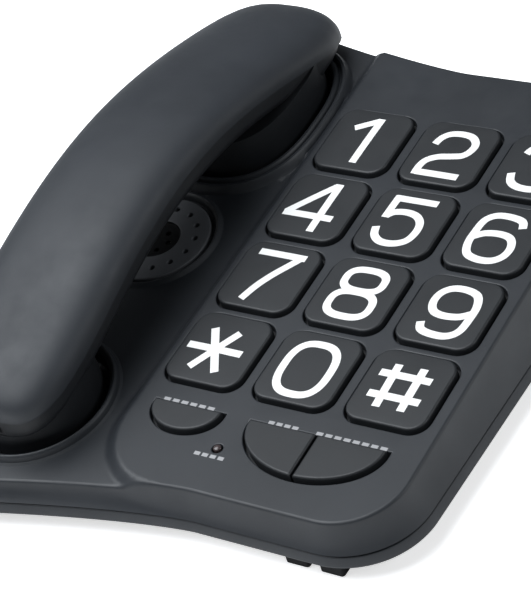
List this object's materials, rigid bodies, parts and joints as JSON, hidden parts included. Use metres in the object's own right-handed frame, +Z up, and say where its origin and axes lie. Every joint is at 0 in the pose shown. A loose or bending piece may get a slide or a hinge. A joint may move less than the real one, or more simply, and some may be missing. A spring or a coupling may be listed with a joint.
{
  "type": "corded desk telephone",
  "caption": "Big-button corded desk telephone: a sloping keypad base with a handset lying in a cradle on its left side.",
  "frame": {"origin": "centre of the footprint, on the surface that the four rubber feet stand on", "axes": "+X to the right as the user faces the keypad, +Y away from the user, +Z up"},
  "size_m": [0.1672, 0.2085, 0.0632],
  "materials": {
    "shell_plastic": "satin",
    "key_plastic": "satin",
    "grille_plastic": "matte",
    "foot_rubber": "matte",
    "membrane_rubber": "matte",
    "circuit_board": "satin",
    "led_lens": "gloss",
    "screw_steel": "satin",
    "speaker_metal": "satin",
    "jack_plastic": "satin",
    "key_print": "satin"
  },
  "bodies": {
    "base": {"base_upper_shell": "shell_plastic", "base_lower_shell": "shell_plastic", "speaker_grille": "grille_plastic", "foot_front_right": "foot_rubber", "foot_front_left": "foot_rubber", "foot_rear_right": "foot_rubber", "foot_rear_left": "foot_rubber", "keypad_membrane": "membrane_rubber", "keypad_board": "circuit_board", "main_board": "circuit_board", "led_lens": "led_lens", "base_screw_1": "screw_steel", "base_screw_2": "screw_steel", "base_screw_3": "screw_steel", "base_screw_4": "screw_steel", "ringer_speaker": "speaker_metal", "line_jack": "jack_plastic", "cord_jack": "jack_plastic", "hook_switch": "jack_plastic"},
    "handset": {"handset_outer_shell": "shell_plastic", "handset_inner_shell": "shell_plastic", "receiver": "speaker_metal", "microphone": "speaker_metal", "handset_weight": "screw_steel", "handset_jack": "jack_plastic", "handset_screw_1": "screw_steel", "handset_screw_2": "screw_steel"},
    "key_1": {"key_1": "key_plastic"},
    "key_2": {"key_2": "key_plastic"},
    "key_3": {"key_3": "key_plastic"},
    "key_4": {"key_4": "key_plastic"},
    "key_5": {"key_5": "key_plastic"},
    "key_6": {"key_6": "key_plastic"},
    "key_7": {"key_7": "key_plastic"},
    "key_8": {"key_8": "key_plastic"},
    "key_9": {"key_9": "key_plastic"},
    "key_star": {"key_star": "key_plastic"},
    "key_0": {"key_0": "key_plastic"},
    "key_hash": {"key_hash": "key_plastic"},
    "mic_key": {"mic_key": "key_plastic"},
    "flash_key": {"flash_key": "key_plastic"},
    "redial_key": {"redial_key": "key_plastic"},
    "hook_plunger": {"hook_plunger": "key_plastic"},
    "ringer_switch": {"ringer_switch": "key_plastic"},
    "tone_switch": {"tone_switch": "key_plastic"}
  },
  "joints": [
    {"name": "handset_lift", "type": "slide", "parent": "base", "child": "handset", "axis": [0, -0.0837, 0.9965], "range_m": [0, 0.06]},
    {"name": "key_1_press", "type": "slide", "parent": "base", "child": "key_1", "axis": [0, 0.0837, -0.9965], "range_m": [0, 0.0018], "stiffness_N_per_m": 300, "springref_m": -0.001},
    {"name": "key_2_press", "type": "slide", "parent": "base", "child": "key_2", "axis": [0, 0.0837, -0.9965], "range_m": [0, 0.0018], "stiffness_N_per_m": 300, "springref_m": -0.001},
    {"name": "key_3_press", "type": "slide", "parent": "base", "child": "key_3", "axis": [0, 0.0837, -0.9965], "range_m": [0, 0.0018], "stiffness_N_per_m": 300, "springref_m": -0.001},
    {"name": "key_4_press", "type": "slide", "parent": "base", "child": "key_4", "axis": [0, 0.0837, -0.9965], "range_m": [0, 0.0018], "stiffness_N_per_m": 300, "springref_m": -0.001},
    {"name": "key_5_press", "type": "slide", "parent": "base", "child": "key_5", "axis": [0, 0.0837, -0.9965], "range_m": [0, 0.0018], "stiffness_N_per_m": 300, "springref_m": -0.001},
    {"name": "key_6_press", "type": "slide", "parent": "base", "child": "key_6", "axis": [0, 0.0837, -0.9965], "range_m": [0, 0.0018], "stiffness_N_per_m": 300, "springref_m": -0.001},
    {"name": "key_7_press", "type": "slide", "parent": "base", "child": "key_7", "axis": [0, 0.0837, -0.9965], "range_m": [0, 0.0018], "stiffness_N_per_m": 300, "springref_m": -0.001},
    {"name": "key_8_press", "type": "slide", "parent": "base", "child": "key_8", "axis": [0, 0.0837, -0.9965], "range_m": [0, 0.0018], "stiffness_N_per_m": 300, "springref_m": -0.001},
    {"name": "key_9_press", "type": "slide", "parent": "base", "child": "key_9", "axis": [0, 0.0837, -0.9965], "range_m": [0, 0.0018], "stiffness_N_per_m": 300, "springref_m": -0.001},
    {"name": "key_star_press", "type": "slide", "parent": "base", "child": "key_star", "axis": [0, 0.0837, -0.9965], "range_m": [0, 0.0018], "stiffness_N_per_m": 300, "springref_m": -0.001},
    {"name": "key_0_press", "type": "slide", "parent": "base", "child": "key_0", "axis": [0, 0.0837, -0.9965], "range_m": [0, 0.0018], "stiffness_N_per_m": 300, "springref_m": -0.001},
    {"name": "key_hash_press", "type": "slide", "parent": "base", "child": "key_hash", "axis": [0, 0.0837, -0.9965], "range_m": [0, 0.0018], "stiffness_N_per_m": 300, "springref_m": -0.001},
    {"name": "mic_key_press", "type": "slide", "parent": "base", "child": "mic_key", "axis": [0, 0.0837, -0.9965], "range_m": [0, 0.0018], "stiffness_N_per_m": 300, "springref_m": -0.001},
    {"name": "flash_key_press", "type": "slide", "parent": "base", "child": "flash_key", "axis": [0, 0.0837, -0.9965], "range_m": [0, 0.0018], "stiffness_N_per_m": 300, "springref_m": -0.001},
    {"name": "redial_key_press", "type": "slide", "parent": "base", "child": "redial_key", "axis": [0, 0.0837, -0.9965], "range_m": [0, 0.0018], "stiffness_N_per_m": 300, "springref_m": -0.001},
    {"name": "hook_plunger_rise", "type": "slide", "parent": "base", "child": "hook_plunger", "axis": [0, -0.0837, 0.9965], "range_m": [0, 0.00251]},
    {"name": "ringer_switch_slide", "type": "slide", "parent": "base", "child": "ringer_switch", "axis": [1, 0, 0], "range_m": [-0.002, 0.002]},
    {"name": "tone_switch_slide", "type": "slide", "parent": "base", "child": "tone_switch", "axis": [1, 0, 0], "range_m": [-0.002, 0.002]}
  ],
  "couplings": [
    {"joint": "hook_plunger_rise", "follows": "handset_lift", "ratio": 0.041667}
  ]
}
